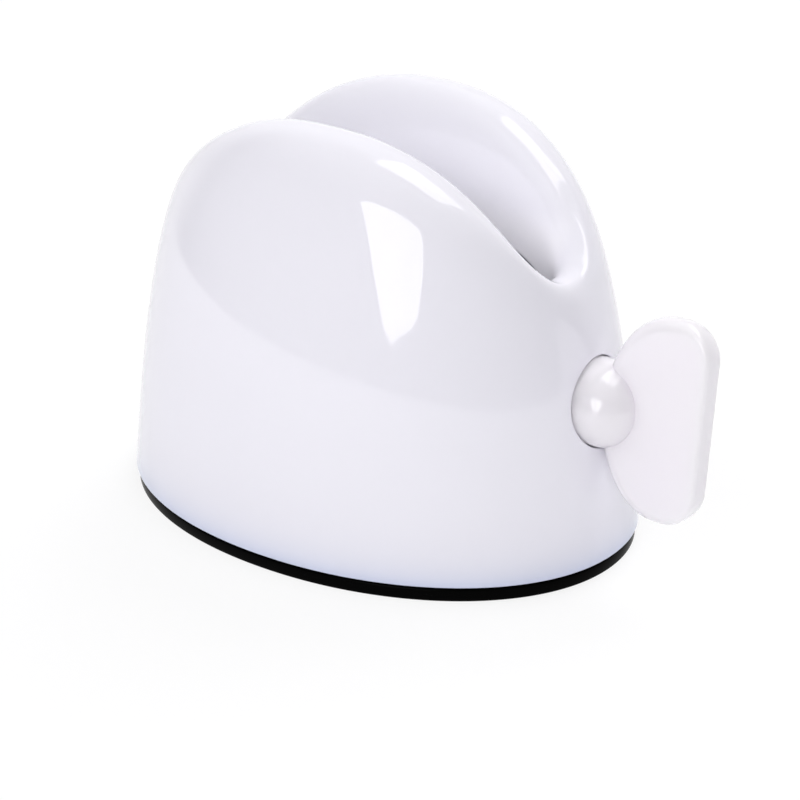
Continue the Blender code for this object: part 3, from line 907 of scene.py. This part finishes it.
def plate_rows():
    """The outline carried from the front face over the rim, which is rounder along the curve."""
    outline = plate_outline()
    straight_x = outline[:, 0].max()
    away = np.clip((straight_x - outline[:, 0]) / PLATE_CORNER, 0.0, 1.0)
    edge = (STRAIGHT_EDGE + (ROUND_EDGE - STRAIGHT_EDGE) * away)[:, None]
    turns = np.linspace(-0.5 * np.pi, 0.5 * np.pi, 2 * EDGE_STEPS + 1)
    rows = []
    for turn in turns:
        plan = inset_plan(outline, edge * (1.0 - math.cos(turn)))
        depth = (0.5 * PLATE_THICKNESS - edge) * np.sign(turn) + edge * math.sin(turn)
        rows.append(about_axis(plan[:, 0], depth[:, 0], plan[:, 1]))
    plan = inset_plan(outline, edge + FACE_INSET)
    half = 0.5 * PLATE_THICKNESS
    first, last = (about_axis(plan[:, 0], depth, plan[:, 1]) for depth in (-half, half))
    return np.array([first, *rows, last])


key = piece("key", *capped(turned_rows(hub_profile(), ROUND_STEPS)), milky)
plate = piece("plate", *capped(plate_rows()), milky)
combine(key, plate, "UNION")
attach(key, "key")
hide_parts("key_handle")
print("key:", len(key.data.polygons), "faces in one skin")

# %% [markdown]
# ## The rod
#
# The rod inside grips the tube's tail in a slit and is turned by the key. Its round form, with
# the collar that holds it between the posts, is again a profile carried round the axis. The slit
# is cut out with a boolean, using a flat block with rounded ends, and a square tang is added at
# the key's end, where it reaches into the hub.

# %% Split rod
ROD_RADIUS = 0.0050
ROD_FAR_X = -0.03523
ROD_NEAR_X = 0.03423
ROD_TIP_CHAMFER = 0.0008
ROD_EDGE = 0.0002
COLLAR_X = (0.02943, 0.03093)
COLLAR_RADIUS = 0.0066
SLIT_X = (-0.03003, 0.02823)
SLIT_WIDTH = 0.0022
SLIT_REACH = 0.0080
SLIT_END_STEPS = 13
TANG_WIDTH = 0.0050
TANG_ROOT = 0.0022
TANG_TIP_X = 0.03913


def rod_profile():
    """Chamfered tip, long round bar, collar with eased edges and near end, as x and radius."""
    low, high = COLLAR_X
    return np.array([
        (ROD_FAR_X, ROD_RADIUS - ROD_TIP_CHAMFER), (ROD_FAR_X + ROD_TIP_CHAMFER, ROD_RADIUS),
        (low, ROD_RADIUS), (low, COLLAR_RADIUS - ROD_EDGE), (low + ROD_EDGE, COLLAR_RADIUS),
        (high - ROD_EDGE, COLLAR_RADIUS), (high, COLLAR_RADIUS - ROD_EDGE), (high, ROD_RADIUS),
        (ROD_NEAR_X - ROD_EDGE, ROD_RADIUS), (ROD_NEAR_X, ROD_RADIUS - ROD_EDGE),
    ])


def slit_rows():
    """Outline of the slit with half-round ends, below and above the rod."""
    turn = np.linspace(-0.5 * np.pi, 0.5 * np.pi, SLIT_END_STEPS)
    radius = 0.5 * SLIT_WIDTH
    near = np.column_stack([SLIT_X[1] - radius + radius * np.cos(turn), radius * np.sin(turn)])
    far = np.column_stack([SLIT_X[0] + radius - radius * np.cos(turn), -radius * np.sin(turn)])
    plan = np.concatenate([near, far])
    return np.array([about_axis(plan[:, 0], plan[:, 1], z) for z in (-SLIT_REACH, SLIT_REACH)])


def tang_rows():
    """Square bar from inside the rod to its tip inside the hub."""
    y, z = 0.5 * TANG_WIDTH * np.array([(1, 1, -1, -1), (-1, 1, 1, -1)])
    return np.array([about_axis(x, y, z) for x in (ROD_NEAR_X - TANG_ROOT, TANG_TIP_X)])


rod = piece("rod", *capped(turned_rows(rod_profile(), ROUND_STEPS)), dull_milky)
combine(rod, piece("slit", *capped(slit_rows()), dull_milky), "DIFFERENCE")
combine(rod, piece("tang", *capped(tang_rows()), dull_milky), "UNION")
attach(rod, "key")
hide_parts("winding_rod")
print("rod:", len(rod.data.polygons), "faces in one skin")

# %% [markdown]
# ## The mat
#
# The mat is a flat sheet cut to the dome's oval, a little smaller, with its edges rounded over.
# Its outline comes from the same wall formula, so the thin dark seam between dome and mat is
# even.

# %% Mat
MAT_TOP = float(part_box("non_slip_pad")[1][2])
MAT_INSET = 0.00045
MAT_EDGE = 0.0004


def mat_rows():
    """The oval carried from the underside over the rounded edge to the top."""
    oval_plan = wall_point(meridian, np.full(MERIDIANS, RIM_BOTTOM))[:, :2]
    turn = np.linspace(-0.5 * np.pi, 0.5 * np.pi, 2 * EDGE_STEPS + 1)
    inset = MAT_INSET + MAT_EDGE * (1.0 - np.cos(turn))
    height = 0.5 * MAT_TOP + (0.5 * MAT_TOP - MAT_EDGE) * np.sign(turn) + MAT_EDGE * np.sin(turn)
    inner_inset = MAT_INSET + 2.0 * MAT_EDGE
    inset = np.concatenate([[inner_inset], inset, [inner_inset]])
    height = np.concatenate([[height[0]], height, [height[-1]]])
    return np.array([level(inset_plan(oval_plan, i), z) for i, z in zip(inset, height)])


mat = piece("mat", *capped(mat_rows()), rubber)
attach(mat, "housing")
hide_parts("non_slip_pad")

# %% [markdown]
# ## The pieces inside
#
# The cover and the screws keep their CAD shapes, which are already right, and get finishes.
# Looking down the slot, the eye meets the split rod, the cover's posts at its ends and the cover
# under it.

# %% Finishes on the CAD pieces
SCREWS = [f"base_screw_{number}" for number in (1, 2, 3, 4)]
for node, finish in [("base_cover", textured)] + [(screw, zinc) for screw in SCREWS]:
    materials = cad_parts[node].data.materials
    materials.clear()
    materials.append(finish)

# %% [markdown]
# ## The studio
#
# The photograph has a plain white ground. The floor and the world look white to the camera, to
# reflections and through clear plastic, but light the scene at their own lower level, so the
# object keeps its tone and the floor keeps its shadow. What the gloss mirrors in front is darker:
# the white table ends at arm's length, which draws the faint horizon line across the dome, and
# the room behind the camera is dark. Both are masks on glossy rays alone, so they change no light
# on the object. The floor's share of shadow fades with the distance, so that far off it is as
# white as the world.

# %% World and floor
WORLD_FILL = 0.21
FILL_COLOUR = (0.96, 0.95, 1.0, 1.0)
FRONT_X, FRONT_Y = 0.42, -0.91
SIDE_FROM, SIDE_TO = -0.60, -0.20
CEILING_FROM, CEILING_TO = 0.40, 0.85
TABLE_RADIUS = 0.26
TABLE_EDGE = 0.002
BACKDROP = (1.0, 1.0, 1.0)
DARK_ROOM = (0.04, 0.04, 0.04)
FLOOR_SIZE = 6.0
FLOOR_HEIGHT = -0.00002
FLOOR_SEEN = 0.80
SHADOW_REACH = 0.35
FLOOR_GLOW = 1.04
FLOOR_COLOUR = (0.90, 0.90, 0.91, 1.0)
FLOOR_ROUGHNESS = 0.9


def frontwards(x, y):
    """How far a place or a direction lies towards the front of the room."""
    return x * FRONT_X + y * FRONT_Y


def studio_world():
    """World: a soft fill for diffuse light, white where seen, dark where the front is mirrored."""
    world = bpy.data.worlds.new("studio")
    world.use_nodes = True
    nodes = Nodes(world.node_tree)
    way = nodes.node("ShaderNodeTexCoord").outputs["Generated"]
    x, y, z = nodes.parts(way)
    below_ceiling = 1.0 - z.ramp(CEILING_FROM, CEILING_TO)
    front = frontwards(x, y).ramp(SIDE_FROM, SIDE_TO) * below_ceiling * nodes.ray("Glossy")
    seen = {"Color": nodes.mixed(front, BACKDROP, DARK_ROOM), "Strength": 1.0}
    fill = {"Color": FILL_COLOUR, "Strength": WORLD_FILL}
    backdrop = nodes.shader_mix(
        nodes.ray("Camera", "Glossy", "Transmission"),
        nodes.node("ShaderNodeBackground", None, fill),
        nodes.node("ShaderNodeBackground", None, seen),
    )
    nodes.fill(nodes.tree.nodes["World Output"], {"Surface": backdrop.outputs[0]})
    return world


def floor_finish():
    """White floor: it glows where it is seen, and its mirror image is dark beyond the table."""
    finish = Finish("white_floor")
    x, y, _ = finish.parts(finish.place())
    distance = finish.math("SQRT", x * x + y * y)
    front = frontwards(x, y).ramp(distance * SIDE_FROM, distance * SIDE_TO) * finish.ray("Glossy")
    beyond = distance.ramp(TABLE_RADIUS - TABLE_EDGE, TABLE_RADIUS + TABLE_EDGE) * front
    glow = {"Color": finish.mixed(beyond, BACKDROP, DARK_ROOM), "Strength": FLOOR_GLOW}
    finish.fill(finish.surface, {
        "Base Color": FLOOR_COLOUR,
        "Roughness": FLOOR_ROUGHNESS,
        "Specular IOR Level": 0.0,
    })
    shadow_share = (1.0 - distance.ramp(SHADOW_REACH, 2.0 * SHADOW_REACH)) * (1.0 - FLOOR_SEEN)
    seen = finish.ray("Camera", "Transmission") * (1.0 - shadow_share) + finish.ray("Glossy")
    covered = finish.shader_mix(seen, finish.surface, finish.node("ShaderNodeEmission", None, glow))
    finish.fill(finish.tree.nodes["Material Output"], {"Surface": covered.outputs[0]})
    return finish.material


def stage_piece(name, corners, finish):
    """Flat stage piece through its corners, which isn't part of the object."""
    mesh = bpy.data.meshes.new(name)
    mesh.from_pydata(corners, [], [list(range(len(corners)))])
    mesh.materials.append(finish)
    item = bpy.data.objects.new(name, mesh)
    bpy.context.scene.collection.objects.link(item)
    return item


bpy.context.scene.world = studio_world()
half = 0.5 * FLOOR_SIZE
floor_plan = ((-half, -half), (half, -half), (half, half), (-half, half))
floor_corners = [(x, y, FLOOR_HEIGHT) for x, y in floor_plan]
stage_piece("floor", floor_corners, floor_finish())
bpy.context.scene.view_settings.view_transform = "Standard"

# %% [markdown]
# ## The lamps
#
# Two softboxes can be read off the reflections. One hangs overhead, which gives the bright
# streaks on both crests. One stands in front, tapered towards the table, and the dome mirrors its
# outline. A softbox is an evenly lit face, so the front one is simply a face with an Emission
# shader, cut to its outline; the overhead one is an area lamp, whose power follows from the
# brightness of its face and its area. Both are seen by reflections alone. The light itself comes
# from three plain lamps, two in front and one behind, which reflections don't show. So the
# brightness of a highlight and the tone of the plastic are set apart from each other.

# %% Softboxes
FRONT_SOFTBOX_Y = -0.60
FRONT_SOFTBOX_OUTLINE = (
    (0.092, 0.006), (0.125, 0.022), (0.180, 0.037), (0.215, 0.060), (0.255, 0.158),
    (0.278, 0.265), (0.282, 0.349), (0.217, 0.383), (0.120, 0.392), (0.021, 0.382),
    (-0.040, 0.374), (-0.078, 0.338), (-0.014, 0.160), (0.017, 0.088), (0.052, 0.026),
)
FRONT_GLOW = 4.2
OVERHEAD_HEIGHT = 0.90
OVERHEAD_X = (-0.08, 0.50)
OVERHEAD_Y = (-0.17, 0.60)
OVERHEAD_GLOW = 3.2
PLAIN_DISTANCE = 1.2
PLAIN_SIZE = (0.9, 0.9)
PLAIN_LIGHTS = (
    ("front_right_light", 30.0, 30.0, 2.45),
    ("front_left_light", -45.0, 45.0, 1.80),
    ("back_light", 180.0, 50.0, 4.00),
)


def softbox_face():
    """Evenly glowing face."""
    finish = Finish("softbox_face")
    glow = finish.node("ShaderNodeEmission", None, {"Strength": FRONT_GLOW})
    finish.fill(finish.tree.nodes["Material Output"], {"Surface": glow.outputs[0]})
    return finish.material


def area_lamp(name, centre, size, radiance, matrix, mirrored):
    """Rectangular lamp whose face has a radiance. It is either mirrored or lights the scene."""
    lamp = bpy.data.lights.new(name, "AREA")
    lamp.shape = "RECTANGLE"
    lamp.size, lamp.size_y = size
    lamp.energy = radiance * math.pi * size[0] * size[1]
    item = bpy.data.objects.new(name, lamp)
    bpy.context.scene.collection.objects.link(item)
    item.matrix_world = Matrix.Translation(centre) @ matrix
    item.visible_camera = False
    item.visible_glossy = mirrored
    item.visible_diffuse = not mirrored


front_corners = [(x, FRONT_SOFTBOX_Y, z) for x, z in FRONT_SOFTBOX_OUTLINE]
front_softbox = stage_piece("front_softbox", front_corners, softbox_face())
front_softbox.visible_camera = False
front_softbox.visible_shadow = False
front_softbox.visible_diffuse = False
overhead_centre = Vector((sum(OVERHEAD_X) / 2.0, sum(OVERHEAD_Y) / 2.0, OVERHEAD_HEIGHT))
overhead_size = (OVERHEAD_X[1] - OVERHEAD_X[0], OVERHEAD_Y[1] - OVERHEAD_Y[0])
straight_down = Matrix.Identity(4)
area_lamp("overhead_softbox", overhead_centre, overhead_size, OVERHEAD_GLOW, straight_down, True)
for name, azimuth, elevation, radiance in PLAIN_LIGHTS:
    back = direction(math.radians(azimuth), math.radians(elevation))
    area_lamp(name, back * PLAIN_DISTANCE, PLAIN_SIZE, radiance, aimed(back), False)
